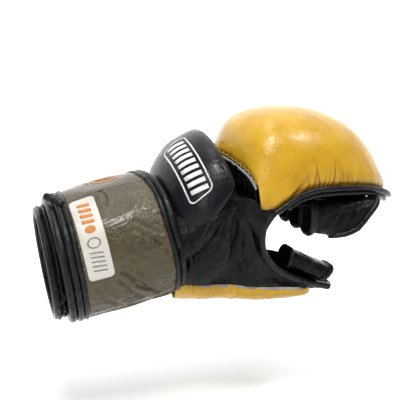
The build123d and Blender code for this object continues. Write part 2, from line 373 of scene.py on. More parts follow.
def bump_node(tree, height, strength, distance, previous=None):
    node = set_inputs(tree.nodes.new("ShaderNodeBump"), Strength=strength, Distance=distance)
    tree.links.new(height, node.inputs["Height"])
    if previous:
        tree.links.new(previous, node.inputs["Normal"])
    return node.outputs["Normal"]


def connect(tree, shader, colour, gloss, normal):
    for name, value in (("Base Color", colour), ("Roughness", gloss), ("Normal", normal)):
        tree.links.new(value, shader.inputs[name])


def leather(name, base, dark, light, rough, grain, creases, coat, fold_shade=None, shine=0.2):
    """Glossy split leather: pebble grain, fine creases, mottled colour, rubbed high spots, and painted
    shade: a darker colour in the creases, where one is given.
    """
    material, tree, shader, place = node_tree(name)
    mottle = noise_node(tree, place, 55.0, 4.0)
    rubbed = ramp(tree, noise_node(tree, place, 420.0, 2.0), (0.62, 0.0), (0.8, 0.5))
    colour = mix(tree, rubbed, ramp(tree, mottle, (0.3, dark), (0.52, base), (0.78, light)), light)
    # Painted shade: the colour turns darker where the stored crease depth is high.
    if fold_shade:
        mark = tree.nodes.new("ShaderNodeAttribute")
        mark.attribute_name = "fold_shade"
        colour = mix(tree, mark.outputs["Fac"], colour, fold_shade)
    gloss = ramp(tree, noise_node(tree, place, 130.0), (0.3, rough[0]), (0.7, rough[1]))
    cells = texture(tree, place, "Voronoi", Scale=grain)
    cells.feature = "DISTANCE_TO_EDGE"
    pebble = ramp(tree, cells.outputs["Distance"], (0.0, 0.0), (0.22, 1.0))
    pebble = bump_node(tree, pebble, 0.22, 0.0003)
    lines = ramp(tree, noise_node(tree, place, 95.0, 5.0, 0.6), (0.44, 1.0), (0.5, 0.0), (0.56, 1.0))
    connect(tree, shader, colour, gloss, bump_node(tree, lines, creases, 0.0006, pebble))
    shader.inputs["Coat Weight"].default_value = coat
    shader.inputs["Coat Roughness"].default_value = 0.16
    shader.inputs["Specular IOR Level"].default_value = shine
    return material


def fabric(name, base, dark, scale=900.0, rough=0.85):
    """Knitted or woven cloth: two crossed waves under a mottled colour."""
    material, tree, shader, place = node_tree(name)
    mottle = noise_node(tree, place, 120.0, 4.0)
    waves = []
    for direction in ("X", "Z"):
        wave = texture(tree, place, "Wave", Scale=scale, Distortion=1.2)
        wave.bands_direction = direction
        waves.append(wave.outputs["Color"])
    weave = mix(tree, 0.5, *waves)
    colour = mix(tree, 0.35, ramp(tree, mottle, (0.3, dark), (0.7, base)), weave, "MULTIPLY")
    gloss = ramp(tree, mottle, (0.2, rough - 0.1), (0.8, rough))
    connect(tree, shader, colour, gloss, bump_node(tree, weave, 0.4, 0.0003))
    shader.inputs["Sheen Weight"].default_value = 0.3
    return material


def print_ink(name, base, dark, rough=0.5):
    """Screen print on leather, slightly broken up by the grain."""
    material, tree, shader, place = node_tree(name)
    speck = noise_node(tree, place, 700.0, 3.0)
    gloss = ramp(tree, speck, (0.3, rough), (0.7, rough + 0.15))
    connect(tree, shader, ramp(tree, speck, (0.3, dark), (0.45, base)), gloss,
            bump_node(tree, speck, 0.15, 0.0002))
    return material


# name, base, dark and light colours, roughness range, grain, depth of the creases, coat
YELLOW = leather(
    "yellow_leather", (0.59, 0.335, 0.016), (0.50, 0.262, 0.011), (0.65, 0.39, 0.032),
    # painted shade: the darker orange colour in the creases and gathers
    (0.17, 0.31), 520.0, 0.12, 0.18, fold_shade=(0.26, 0.10, 0.006), shine=0.4)
BLACK = leather(
    "black_leather", (0.005, 0.005, 0.006), (0.003, 0.003, 0.004), (0.013, 0.013, 0.013),
    (0.15, 0.3), 640.0, 0.45, 0.05, shine=0.14)
GUARD = leather(
    "guard_leather", (0.006, 0.006, 0.009), (0.004, 0.004, 0.006), (0.014, 0.014, 0.018),
    (0.15, 0.27), 800.0, 0.14, 0.08, shine=0.22)
PIPING = leather(
    "black_piping", (0.008, 0.008, 0.009), (0.005, 0.005, 0.006), (0.02, 0.02, 0.022),
    (0.16, 0.3), 760.0, 0.25, 0.08, shine=0.22)
OLIVE = leather(
    "olive_leather", (0.078, 0.061, 0.027), (0.058, 0.045, 0.018), (0.108, 0.086, 0.043),
    (0.16, 0.32), 600.0, 0.4, 0.2, shine=0.42)
LABEL = leather(
    "white_label", (0.66, 0.63, 0.57), (0.58, 0.55, 0.49), (0.74, 0.71, 0.65),
    (0.35, 0.5), 900.0, 0.15, 0.1)
LINING = fabric("lining_fabric", (0.05, 0.05, 0.055), (0.02, 0.02, 0.023))
WELT = fabric("welt_fabric", (0.5, 0.5, 0.52), (0.28, 0.28, 0.3), 1400.0)
LOOP = fabric("hook_and_loop", (0.03, 0.03, 0.033), (0.01, 0.01, 0.012), 1600.0, 0.95)
THREAD = print_ink("yellow_thread", (0.85, 0.52, 0.06), (0.5, 0.26, 0.02))
WHITE_PRINT = print_ink("white_print", (0.78, 0.79, 0.82), (0.45, 0.46, 0.5))
ORANGE_PRINT = print_ink("orange_print", (0.62, 0.22, 0.035), (0.38, 0.15, 0.05))
GREY_PRINT = print_ink("grey_print", (0.13, 0.115, 0.10), (0.3, 0.28, 0.25))


def shade(piece, values):
    """Stores how deep in a crease each point is, which the leather paints as shade in its colour."""
    data = piece.data.attributes.new("fold_shade", "FLOAT", "POINT")
    full = np.zeros(len(piece.data.vertices), np.float32)
    flat = np.asarray(values, np.float32).ravel()
    full[: len(flat)] = flat
    data.data.foreach_set("value", full)


# ---------------- cuff
CUFF_TILT = radians(13)
AXIS = np.array([cos(CUFF_TILT), 0, sin(CUFF_TILT)])
UP = np.array([-sin(CUFF_TILT), 0, cos(CUFF_TILT)])
OVALITY = 3.0
REAR_TILT, FRONT_TILT, MOUTH_TILT = 9.5, 21, 8
WRAP_REAR, WRAP_FRONT, BASE_REAR, BASE_FRONT, SLEEVE_FRONT = 19.8, 68.9, 15.4, 73.0, 70.0
# half widths of the cuff's layers, at their outer face
STRAP_HALF, CORD_HALF, BASE_HALF, SLEEVE_HALF, LINING_HALF = 44.6, 43.9, 41.2, 38.0, 37.0
CORD_RADIUS, CORD_OUT, CORD_GAP = 1.75, 1.5, 0.03
HINGE, FLAP_END, WRAP_END = radians(111), radians(248), radians(-104)


def cuff_point(theta, along, half_width):
    """Point round the cuff; theta is 0 on the far side, 90 degrees on top, 180 on the thumb side."""
    theta, along, half_width = np.broadcast_arrays(theta, along, half_width)
    return (along[..., None] * AXIS + (half_width * np.cos(theta))[..., None] * SIDE
            + ((half_width - OVALITY) * np.sin(theta))[..., None] * UP)


def slanted(along, tilt, theta, half_width=43.0):
    """Distance along the cuff of a slanting cut."""
    slope = tan(radians(tilt) - CUFF_TILT)
    return along - (half_width - OVALITY) * np.sin(theta) * slope


def cuff_mouth(theta):
    return slanted(0.6, MOUTH_TILT, theta, 39)


def strap_rear(theta, along=WRAP_REAR):
    return slanted(along, REAR_TILT, theta)


def strap_front(theta, along=WRAP_FRONT):
    """The front edge stands forward over the wrist, most of all beside the guard's end."""
    turn = np.mod(theta, FULL)
    swell = (4.5 * bump(turn, radians(190), radians(42))
             + 10.5 * bump(turn, radians(122), radians(50)))
    return slanted(along, FRONT_TILT, theta) + swell


# Pressed-in creases of the strap: degrees round and part of the way across at the start and
# at the end, then depth and width
STRAP_CREASES = [
    (189, 0.42, 219, 0.74, 1.25, 1.5), (196, 0.36, 224, 0.60, 0.9, 1.3),
    (205, 0.55, 226, 0.80, 1.1, 1.4), (150, 0.70, 166, 0.93, 0.9, 1.3),
    (157, 0.66, 176, 0.90, 0.8, 1.6), (163, 0.78, 184, 0.97, 0.7, 1.2),
    (198, 0.12, 230, 0.34, 0.7, 1.6), (178, 0.55, 196, 0.62, 0.6, 1.5),
    (112, 0.45, 128, 0.43, 0.5, 1.3), (214, 0.20, 238, 0.52, 0.8, 1.5),
    (60, 0.2, 88, 0.35, 0.6, 1.8), (20, 0.4, 50, 0.75, 0.9, 1.7),
    (-30, 0.3, 5, 0.6, 1.0, 1.6), (-70, 0.5, -40, 0.8, 1.0, 1.6),
    (-95, 0.2, -60, 0.4, 0.9, 1.5),
]
MM_PER_DEGREE, STRAP_WIDTH = 0.76, 50.0


def strap_relief(theta, v):
    """Crown, puckers and pressed-in creases of the olive leather."""
    turn = np.mod(theta, FULL)
    degrees = np.degrees(turn)
    near = bump(turn, radians(205), radians(50)) * smooth(0.1, 0.5, v)
    low = bump(turn, radians(250), radians(32))
    pressed = np.zeros_like(turn * v)
    for t0, v0, t1, v1, depth, width in STRAP_CREASES:
        x, y = ((degrees - t0 + 180) % 360 - 180) * MM_PER_DEGREE, (v - v0) * STRAP_WIDTH
        y = y + 1.1 * noise(x / 6, y / 6, 0, 16)
        away = off_segment(x, y, (t1 - t0) * MM_PER_DEGREE, (v1 - v0) * STRAP_WIDTH)[0]
        pressed = pressed + depth * (bump(away, 0, width) - 0.35 * bump(away, 2.4, 1.6))
    ripple = noise(turn * 22 + v * 4, v * 2.2, 0, 13)
    soft = noise(turn * 3.1, v * 2.1, 0, 14)
    fine = crease(turn * 9, v * 9, 0, 11, 4.0)
    edge = 1 - np.clip(np.minimum(v, 1 - v) / 0.08, 0, 1)
    return (0.9 * arch(v) + 0.5 * soft - pressed + 0.7 * low * ripple + 0.2 * near * ripple
            - 0.28 * (0.25 + near) * fine + 0.3 * edge * noise(turn * 30, v * 2, 0, 15) - 0.5 * edge**2)


def strap_surface(theta, v, half_width=STRAP_HALF, lift=0.0):
    along = between(strap_rear(theta), strap_front(theta), v)
    return cuff_point(theta, along, half_width + strap_relief(theta, v) + lift)


def strap_sheet(node, start, end, thickness, body, columns):
    theta, v = np.meshgrid(np.linspace(start, end, columns), steps(96))
    sheet = shell(f"olive_{node}", strap_surface(theta, v), thickness, OLIVE, body)
    dress(sheet, "olive_leather", node)


strap_sheet("strap_wrap", WRAP_END, HINGE - 0.006, 3.2, "cuff", 380)
strap_sheet("strap_flap", HINGE + 0.006, FLAP_END, 1.6, "flap", 260)

theta, v = around(160, 30)
base_along = between(strap_rear(theta, BASE_REAR), strap_front(theta, BASE_FRONT), v)
base_grid = cuff_point(theta, base_along, BASE_HALF)
dress(shell("olive_strap_base", base_grid, 1.6, OLIVE, "cuff", wrap=True),
      "olive_leather", "strap_base")


def cuff_cord(edge, half_width, radius, start=0, end=FULL, wobble=0.25):
    """Piping round the cuff along an edge."""
    closed = end - start > 6.28
    theta = np.linspace(start, end, 220, endpoint=not closed)
    size = radius * (1 + 0.06 * noise(theta * 9, 0.5, 0, 21))
    path = cuff_point(theta, edge(theta), half_width + wobble * noise(theta * 5, 1.5, 0, 22))
    return tube("cord", path, size, PIPING, closed=closed)


def edge_cords(start, end):
    """Piping of the strap's rear and front edges."""
    edges = (lambda t: strap_rear(t) - CORD_OUT, lambda t: strap_front(t) + CORD_OUT)
    return [cuff_cord(edge, CORD_HALF, CORD_RADIUS, start, end) for edge in edges]


flap_end = strap_surface(np.full(40, FLAP_END + 0.02), np.linspace(0.03, 0.97, 40), 43.2)
for name, node, body, cords in (
    ("strap_wrap_cords", "strap_wrap_piping", "cuff", edge_cords(WRAP_END + CORD_GAP, HINGE - CORD_GAP)),
    ("strap_flap_cords", "strap_flap_piping", "flap",
     edge_cords(HINGE + CORD_GAP, FLAP_END) + [tube("cord", flap_end, 1.3, PIPING)]),
    ("strap_base_cords", "strap_base_piping", "cuff",
     [cuff_cord(lambda t: strap_rear(t, BASE_REAR) - 0.9, 43.0, 2.5),
      cuff_cord(lambda t: strap_rear(t, BASE_REAR) - 5.8, 42.2, 2.8, wobble=0.5),
      cuff_cord(lambda t: strap_front(t, BASE_FRONT) + 1.4, 42.3, 2.7)]),
):
    dress(joined(name, cords, body), "black_piping", node)

# Hook-and-loop patches, seen when the flap is open
for name, node, body, radius, start, end in (
    ("loop_patch_fabric", "loop_patch", "cuff", 42.0, 141, 246),
    ("hook_patch_fabric", "hook_patch", "flap", 43.05, 161, 245),
):
    theta, v = np.meshgrid(np.radians(np.linspace(start, end, 60)), steps(24))
    fuzz = 0.12 * noise(theta * 300, v * 200, 0, 31)
    patch = shell(name, cuff_point(theta, 30 + 34 * v, radius + fuzz), 0.7, LOOP, body)
    dress(patch, "hook_and_loop", node)

# Black sleeve behind the strap: three pressed ridges that bunch up underneath, then plain
# leather under the strap
sleeve_rows = np.r_[steps(64), np.linspace(1.08, 7.0, 14)]
theta, v = np.meshgrid(angles(300), sleeve_rows)
turn = np.mod(theta, FULL)
under = bump(turn, radians(235), radians(55))
shift = (0.05 * noise(np.cos(theta) * 2.2, np.sin(theta) * 2.2, 0.3, 41)
         + 0.05 * under * noise(theta * 6, v * 3, 0, 42))
ridge = np.abs(np.sin(pi * 3 * (v + shift))) ** 0.55
bunch = under * (round_fbm(theta, 9, v * 5, 43) * 1.6 - 1.3 * crease(theta * 5, v * 4, 0, 44, 2.2))
showing = 1 - smooth(0.98, 1.1, v)
half = SLEEVE_HALF + showing * (0.4 + 1.9 * ridge + bunch + 0.5 * noise(theta * 3, v * 4, 0, 45))
half = np.where(v > 1.05, 39.2, half)
mouth = cuff_mouth(theta)
sleeve_grid = cuff_point(theta, mouth + (strap_rear(theta, 10.5) - mouth) * v, half)
dress(shell("black_cuff_sleeve", sleeve_grid, 1.6, BLACK, "cuff", wrap=True),
      "black_leather", "inner_cuff")
theta = angles(240)
mouth_path = cuff_point(theta, cuff_mouth(theta), 37.9 + 0.4 * noise(theta * 4, 2.5, 0, 46))
dress(tube("cuff_mouth_binding", mouth_path, 1.7, PIPING, "cuff", closed=True),
      "black_piping", "cuff_end_binding")
theta, v = around(160, 50)
lining_along = between(slanted(0.8, MOUTH_TILT, theta), slanted(71.0, FRONT_TILT, theta), v)
lining_grid = cuff_point(theta, lining_along, LINING_HALF + 0.5 * round_fbm(theta, 4, v * 5, 47) * v)
dress(shell("cuff_lining_fabric", lining_grid, 0.6, LINING, "cuff", wrap=True),
      "lining_fabric", "cuff_lining")

# Folded corner of the strap's edge, standing out at the top behind the strap
ear = line_through([(10, -17, 42.5), (7, -15, 44.6), (4, -13.5, 45.8), (1.6, -12, 46.2)], 24)
dress(tube("strap_corner_cord", ear, 2.5, PIPING, "cuff"), "black_piping")


# ---------------- prints on the strap
def decal(name, quads, place_on, material, body, lift, count=6):
    """Print laid on a surface, 0.12 mm thick. Each quad has four corners in the surface's u, v."""
    s, t = steps(count)[None, :, None], steps(count)[:, None, None]
    pieces = []
    for corners in quads:
        a, b, c, d = (np.array(corner, float) for corner in corners)
        uv = between(between(a, b, s), between(d, c, s), t)
        pieces.append(shell("print", place_on(uv[..., 0], uv[..., 1], lift), 0.12, material))
    return joined(name, pieces, body)


def bar(u0, u1, w0, w1, lean):
    return [(u0, w0), (u0 + lean, w1), (u1 + lean, w1), (u1, w0)]


def oval(u, w, ru, rw, inner, parts=16):
    """Printed ring, or a disc where inner is 0."""
    quads = []
    for k in range(parts):
        a0, a1 = FULL * k / parts, FULL * (k + 1) / parts
        corners = ((inner, a0), (1, a0), (1, a1), (inner, a1))
        quads.append([(u + ru * r * cos(a), w + rw * r * sin(a)) for r, a in corners])
    return quads


# White label: a rounded patch with plain bars, a disc and a ring in place of lettering
LABEL_TOP, LABEL_END = radians(114.5), radians(189)
LABEL_REAR, LABEL_WIDTH, LABEL_CORNER, LABEL_LIFT = 20.9, 16.2, 0.05, 0.72


def label_place(u, w, lift):
    """u runs down the label from 0 to 1 and w across it."""
    theta = between(LABEL_TOP, LABEL_END, u)
    along = strap_rear(theta, LABEL_REAR) + 1.2 * u + LABEL_WIDTH * w
    v = (along - strap_rear(theta)) / (strap_front(theta) - strap_rear(theta))
    return cuff_point(theta, along, STRAP_HALF + strap_relief(theta, v) + lift)


u, w = np.meshgrid(steps(90), np.linspace(-1, 1, 26), indexing="ij")
to_end = 1 - np.clip(np.minimum(u, 1 - u) / LABEL_CORNER, 0, 1)
narrowing = 1 - 0.3 * (1 - np.sqrt(1 - to_end**2))
label_grid = label_place(u, 0.5 + 0.5 * w * narrowing, 0.6)
label = shell("white_label_patch", label_grid, 0.5, LABEL, "flap", out=-1.0)
dress(label, "white_label", "label_patch")

orange = [bar(0.085 + 0.075 * k, 0.125 + 0.075 * k, 0.26, 0.74, 0.012) for k in range(4)]
orange += oval(0.43, 0.5, 0.045, 0.21, 0.0)
grey = oval(0.585, 0.5, 0.06, 0.26, 0.82, 22)
grey += [bar(0.68 + 0.05 * k, 0.69 + 0.05 * k, 0.24, 0.76, 0.02) for k in range(5)]
for name, quads, ink in (("label_shapes_orange", orange, ORANGE_PRINT),
                         ("label_shapes_grey", grey, GREY_PRINT)):
    dress(decal(name, quads, label_place, ink, "flap", LABEL_LIFT), "white_label")


def wrap_place(u, v, lift):
    """u is the angle round the cuff in degrees."""
    return strap_surface(np.radians(u), v, lift=lift)


# Plain oval ring with three bars, near the strap's top
ring = oval(85, 0.6, 11, 0.19, 0.82, 28)
for k in (-1, 0, 1):
    at = 81 + 3.4 * k
    ring.append([(at, 0.5), (at + 2, 0.5), (at + 4.5, 0.7), (at + 2.5, 0.7)])
dress(decal("strap_ring_print", ring, wrap_place, ORANGE_PRINT, "cuff", 0.16, 4), "olive_leather")


# ---------------- wrist guard
GUARD_WIDE = 0.54


def guard_arch(phi, q, grow):
    """Point on the guard's mid surface: q runs from the strap, 0, to the knuckle pad, 1."""
    def ring(middle, half_wide, half_high, tilt):
        a = radians(tilt)
        return (np.array(middle) + ((half_wide + grow) * np.cos(phi))[..., None] * SIDE
                + ((half_high + grow) * np.sin(phi))[..., None] * [-sin(a), 0, cos(a)])

    rear, front = ring((84, 0, 20.5), 48.2, 46.8, 17.5), ring((115.5, 0, 48.0), 49.4, 37.6, 18)
    return between(rear, front, q[..., None])


def guard_skin(phi, q, high, fullness=1.0, lift=0.0):
    """Point on the guard's leather, at a height from -1 to 1 in its padded section."""
    middle = guard_arch(phi, q, -6.0)
    normal = unit(guard_arch(phi, q, -5.0) - middle)
    puff = 0.3 * noise(phi * 3, q * 2, 0, 51) + 0.16 * fbm(phi * 7, q * 5, 0, 52)
    thick = 7.8 * fullness * high - 5.2 * smooth(0.5, 0.0, q)
    return middle + normal * (thick + puff * smooth(-0.2, 0.6, high) + lift)[..., None]


def guard_shape(rows, cols):
    """Padded block, thick in the middle and rolled over at its edges."""
    phi, across = np.meshgrid(np.radians(np.linspace(-8, 188, rows)),
                              angles(cols), indexing="ij")
    end = np.minimum(phi - phi.min(), phi.max() - phi) / radians(9)
    taper = np.sqrt(np.clip(1 - (1 - np.clip(end, 0, 1)) ** 2, 0, 1))
    c, s = np.cos(across), np.sin(across)
    q = 0.5 + GUARD_WIDE * signed_power(c, np.where(c < 0, 0.8, 0.5)) * (0.6 + 0.4 * taper)
    phi = pi / 2 + (phi - pi / 2) * (1.02 - 0.14 * q)
    return guard_skin(phi, q, signed_power(s, np.where(c < 0, 0.95, 0.7)), 0.3 + 0.7 * taper)


rows, cols = 120, 44
faces = grid_faces(rows, cols, True, 0, True) + end_caps(rows, cols, 0, True)
guard = mesh("wrist_guard_block", guard_shape(rows, cols), faces, GUARD, "hand")
dress(guard, "black_leather", "wrist_guard_cover", "wrist_guard_foam")

# Printed band on the guard's thumb side: a rounded outline with slanted bars inside
BAND_LONG, BAND_WIDE, BAND_CORNER, BAND_LINE = 52.0, 15.5, 3.5, 0.42


def band_place(a, b, lift):
    """a is millimetres down the arch from the top, b millimetres across it."""
    q = 0.24 + b / 37.0
    wide = np.clip((q - 0.5) / GUARD_WIDE, -1, 1)
    turn = np.abs(wide) ** np.where(wide < 0, 1 / 0.8, 1 / 0.5)
    high = np.sqrt(1 - turn**2) ** np.where(wide < 0, 0.95, 0.7)
    return guard_skin(np.radians(94 + a * 1.24), q, high, lift=lift)


outline = []
for at_end, at_side, start in ((1, 0, -90), (1, 1, 0), (0, 1, 90), (0, 0, 180)):
    corner = (BAND_LONG - BAND_CORNER if at_end else BAND_CORNER,
              BAND_WIDE - BAND_CORNER if at_side else BAND_CORNER)
    for a in np.radians(start + np.linspace(0, 90, 12)):
        outline.append(np.array(corner) + BAND_CORNER * np.array([cos(a), sin(a)]))
outline = np.array(outline + outline[:1])
step = np.gradient(outline, axis=0)
half = unit(np.stack([-step[:, 1], step[:, 0]], axis=1)) * BAND_LINE
left, right = outline + half, outline - half
quads = [(left[k], left[k + 1], right[k + 1], right[k]) for k in range(len(outline) - 1)]
for k in range(9):
    a, b = 2.4 + 5.2 * k, 2.3
    quads.append([(a, b), (a + 3, BAND_WIDE - b), (a + 6, BAND_WIDE - b), (a + 3, b)])
dress(decal("guard_band_print", quads, band_place, WHITE_PRINT, "hand", 0.28, 5), "white_label")

# ---------------- knuckle pad
RIM_NEAR = [(111.5, 0, 69.6), (116.5, -13, 67.6), (122.5, -26, 63), (127, -38, 57.5), (129, -46, 50),
            (129, -50, 42), (131.5, -51, 38), (139, -51, 38), (147, -50.5, 42.5), (155.5, -50, 47.4),
            (166.5, -48.5, 50), (177, -47, 50.4), (199, -41.5, 49), (219, -30, 44.5),
            (229.5, -17, 39), (233.5, 0, 36.5)]
RIM = RIM_NEAR + [(x, -y, z) for x, y, z in RIM_NEAR[-2:0:-1]]
APEX, PAD_MIDDLE = np.array([157, 0, 97.2]), np.array([168, 0, 51.0])
DOME_COLS, EDGE_ROWS, TOP_ROWS = 980, 52, 68
wrapped = RIM[-2:] + RIM + RIM[:3]
rim_t = np.linspace(2, 2 + len(RIM), DOME_COLS * 4 + 1) / (len(wrapped) - 1)
rim = even(through(rim_t, wrapped), DOME_COLS + 1)[:-1]
rim_step = np.linalg.norm(rim[1] - rim[0])
rim_run = np.arange(DOME_COLS) * rim_step
rim_length = rim_step * DOME_COLS
rim_power = 2.55 - 0.38 * smooth(150, 215, rim[:, 0])


def smoothed(values, width):
    """The values of a closed loop, blurred along it by a width in millimetres."""
    turns = np.fft.rfftfreq(DOME_COLS, rim_step)
    keep = np.exp(-2 * (pi * turns * width) ** 2)
    return np.fft.irfft(np.fft.rfft(values) * keep, DOME_COLS)


def dome(t):
    """Pad surface; t runs from the rim, 0, to the top, 1. The rim's corners fade out higher up."""
    rows = []
    for k in t:
        width = 22 * (1 - exp(-k / 0.09))
        bend = 2 / smoothed(rim_power, width)
        edge = np.stack([smoothed(rim[:, axis], width) for axis in range(3)], axis=1)
        flat, rise = cos(k * pi / 2) ** bend, sin(k * pi / 2) ** bend
        rows.append(edge + (APEX - edge) * np.stack([1 - flat, 1 - flat, rise], axis=1))
    return np.array(rows)


def raised(grid, height, wrap=False):
    return grid + grid_normals(grid, wrap) * height[..., None]


# Puckers gathered along the seam, each with its own place, width, length, depth and lean
draw = np.random.default_rng(7)
PUCKERS = []
at = 0.0
while at < rim_length - 3:
    side_x, side_y = np.interp(at, rim_run, rim[:, 0]), np.interp(at, rim_run, rim[:, 1])
    toe = smooth(152, 168, side_x) * (1 - 0.75 * smooth(192, 216, side_x)) * smooth(6, 25, abs(side_y))
    seam = 1 - smooth(112, 135, side_x)
    width = draw.uniform(0.5, 1.0)
    length = draw.uniform(0.35, 1.1) * (3.5 + 9.5 * toe + 2.5 * seam)
    depth = (0.12 + 1.35 * toe + 0.45 * seam) * draw.uniform(0.3, 1.15)
    PUCKERS.append((at, width, length, depth, draw.uniform(-0.3, 0.3)))
    at += draw.uniform(1.8, 3.4)
surface = dome(np.r_[np.linspace(0, 0.3, EDGE_ROWS, endpoint=False), np.linspace(0.3, 0.994, TOP_ROWS)])
steps_up = np.linalg.norm(np.diff(surface, axis=0), axis=2)
height_up = np.r_[np.zeros((1, DOME_COLS)), np.cumsum(steps_up, axis=0)]
sink = np.zeros_like(height_up)
for where, width, length, depth, lean in PUCKERS:
    off = rim_run - where - lean * height_up
    off = (off + rim_length / 2) % rim_length - rim_length / 2
    sink += depth * bump(off, 0, width) * bump(height_up, 0, length)
roll_in = bump(height_up, 0, 2.2)
swell = 0.55 * bump(height_up, 9, 7) * smooth(160, 180, rim[:, 0])
soft = 0.8 * fbm(*np.moveaxis(surface / 24, -1, 0), 61)
waves = 0.35 * noise(*np.moveaxis(surface / 6.5, -1, 0), 62) * bump(height_up, 6, 9)
# One long diagonal crease above the near lower corner
away, along = off_segment(surface[..., 0] - 148, surface[..., 2] - 41.5, 15, 17)
diagonal = 1.3 * bump(away, 0, 1.5) * (surface[..., 1] < 0) * arch(0.12 + 0.8 * along)
lift = soft * smooth(2, 14, height_up) + waves + swell - sink - 1.7 * roll_in - diagonal
inward = 1 - np.linspace(0.985, 0.04, 9)[:, None, None]
underside = between(PAD_MIDDLE, rim - [0, 0, 0.6], inward)
pad_grid = np.concatenate([underside, raised(surface, lift, True)])
faces = grid_faces(len(pad_grid), DOME_COLS, True) + end_caps(len(pad_grid), DOME_COLS)
knuckle = mesh("knuckle_pad_leather", pad_grid, faces, YELLOW, "hand")
# Painted shade: the yellow darkens in the puckers, in the diagonal crease and where the edge rolls in under
# the seam.
fold_shade = np.clip((sink + 0.5 * diagonal) / 1.25, 0, 1) ** 1.3 * 0.85
fold_shade = np.clip(fold_shade + 0.25 * roll_in, 0, 1)
shade(knuckle, np.concatenate([np.zeros_like(underside[..., 0]), fold_shade]))
dress(knuckle, "yellow_leather", "knuckle_pad_cover", "knuckle_pad_foam", "knuckle_gel_layer")

# Black base under the pad
base_t = np.linspace(0.03, 0.98, 24)[:, None, None]
base_grid = between(rim - [0, 0, 2.4], PAD_MIDDLE - [0, 0, 4.5], base_t)
dress(shell("pad_base_leather", base_grid, 1.2, BLACK, "hand", wrap=True, out=-1.0),
      "black_leather", "pad_base_panel")

# Back seam, from the near corner over the top to the far corner, and the wall under it
SEAM_HALF = int(52.0 / rim_step)
seam = np.concatenate([rim[-SEAM_HALF:], rim[:SEAM_HALF + 1]])
seam_out = unit(seam - [158, 0, 60])
seam_at = np.arange(len(seam)) * rim_step
down = steps(34)[:, None]
foot_z = np.maximum(30, 49 - 0.008 * seam[:, 1] ** 2)
foot = np.stack([seam[:, 0] + 4.0, seam[:, 1] * 0.99, foot_z], axis=1)
wall = between(seam - seam_out * 0.4 - [0, 0, 0.6], foot, down[..., None])
puff = (1.9 * arch(down) + 0.8 * noise(seam_at / 9, down * 3, 0, 72)
        + 0.9 * noise(seam_at / 3.1, down * 2, 0, 71) * arch(np.clip(down + 0.12, 0, 1)))
wall = wall + seam_out * [1, 1, 0.2] * puff[..., None]
dress(shell("pad_back_wall", wall, 1.4, BLACK, "hand"), "black_leather")
welt_size = 0.85 * (1 + 0.1 * noise(seam_at / 4, 0.5, 0, 73))
welt_path = seam + seam_out * 0.9 - [0, 0, 0.9]
dress(tube("pad_back_welt", welt_path, welt_size, WELT, "hand", sides=10), "yellow_leather")
seam_thread = stitches("pad_back_stitches", seam + seam_out * 0.2 + [0.6, 0, 1.0], seam_out + [0, 0, 0.4],
                       THREAD, "hand", length=1.9, gap=0.25, radius=0.36, zigzag=0.75)
dress(seam_thread, "yellow_leather")

# Two black rolls along the lower edge, from near corner round the toe to the far corner
low = rim[SEAM_HALF - 4: DOME_COLS - SEAM_HALF + 5]
low_out = unit((low - [150, 0, 0]) * [1, 1, 0])
toe_out = smooth(205, 232, low[:, 0])[:, None]
swell = 1 + 0.07 * noise(np.arange(len(low)) * rim_step / 7, 0.5, 0, 74)
rolls = []
for start_x, out, out_toe, drop, drop_toe, radius in ((139, 0.3, 3.2, 1.6, 1.0, 1.9),
                                                      (149, -0.9, 1.2, 4.9, 0.6, 1.7)):
    line = low + low_out * (out + out_toe * toe_out) - (drop + drop_toe * toe_out) * [0, 0, 1]
    skip = int(np.argmax(low[:, 0] > start_x))
    rolls.append(tube("cord", line[skip:-skip:3], radius * swell[skip:-skip:3], PIPING))
dress(joined("knuckle_pad_rolls", rolls, "hand"), "black_piping", "knuckle_pad_piping")

# ---------------- hand
# Sections of the hand compartment: X, Z, tilt in degrees, half width, half height, power
HAND = np.array([(70, 16.2, 21, 39.8, 36.5, 2.0), (77, 17.8, 21, 42.5, 38.5, 2.1),
                 (95, 16.5, 12, 43.5, 36, 2.6), (115, 15, 5, 45.5, 34, 3.2),
                 (137, 15, 0, 47, 32, 3.4), (165, 18, 0, 46.5, 27, 3.2)])


def hand_point(theta, x, inset):
    """Skin of the hand compartment; theta turns as on the cuff."""
    theta, x = np.broadcast_arrays(theta, np.asarray(x, float))
    row = through(np.interp(x, HAND[:, 0], steps(len(HAND))), HAND)
    tilt, power = np.radians(row[..., 2]), 2 / row[..., 5]
    wide = (row[..., 3] - inset) * signed_power(np.cos(theta), power)
    high = (row[..., 4] - inset) * signed_power(np.sin(theta), power)
    return np.stack([x - high * np.sin(tilt), wide, row[..., 1] + high * np.cos(tilt)], axis=-1)


for name, node, start, end, front, inset, seed, depth in (
    ("back_leather", "back_panel", 38, 142, 168, 0.4, 81, 0.9),
    ("little_side_leather", "little_side_panel", -42, 39, 163, 0.0, 83, 0.9),
    ("palm_leather", "palm_panel", 232, 320, 150, 0.2, 85, 1.17),
):
    theta, x = np.meshgrid(np.radians(np.linspace(start, end, 110)), np.linspace(92, front, 80))
    folds = round_fbm(theta, 4, x / 22, seed) - crease(theta * 3 + x / 30, x / 13, 0, seed + 5)
    grid = raised(hand_point(theta, x, inset), depth * folds)
    dress(shell(name, grid, 1.5, BLACK, "hand"), "black_leather", node)

theta, v = around(160, 60)
x = 70 + 64 * v
grid = raised(hand_point(theta, x, 3.6), 0.5 * round_fbm(theta, 4, x / 12, 87), True)
dress(shell("hand_lining_fabric", grid, 0.8, LINING, "hand", wrap=True), "lining_fabric", "hand_lining")

# Soft bellows between strap and hand
theta, v = around(260, 60)
rear_ring = cuff_point(theta, strap_front(theta, SLEEVE_FRONT), 40.2)
grid = between(rear_ring, hand_point(theta, 99.0, 0.6), v[..., None])
pleat = (1.3 * np.sin(v * 19 + 1.3 * noise(theta * 2.2, 0.3, 0, 91))
         + 0.9 * round_fbm(theta, 6, v * 4, 92))
bellows = shell("wrist_bellows", raised(grid, pleat * arch(v) ** 0.5, True), 1.3, BLACK, wrap=True)
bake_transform(bellows)
dress(bellows, "black_leather")

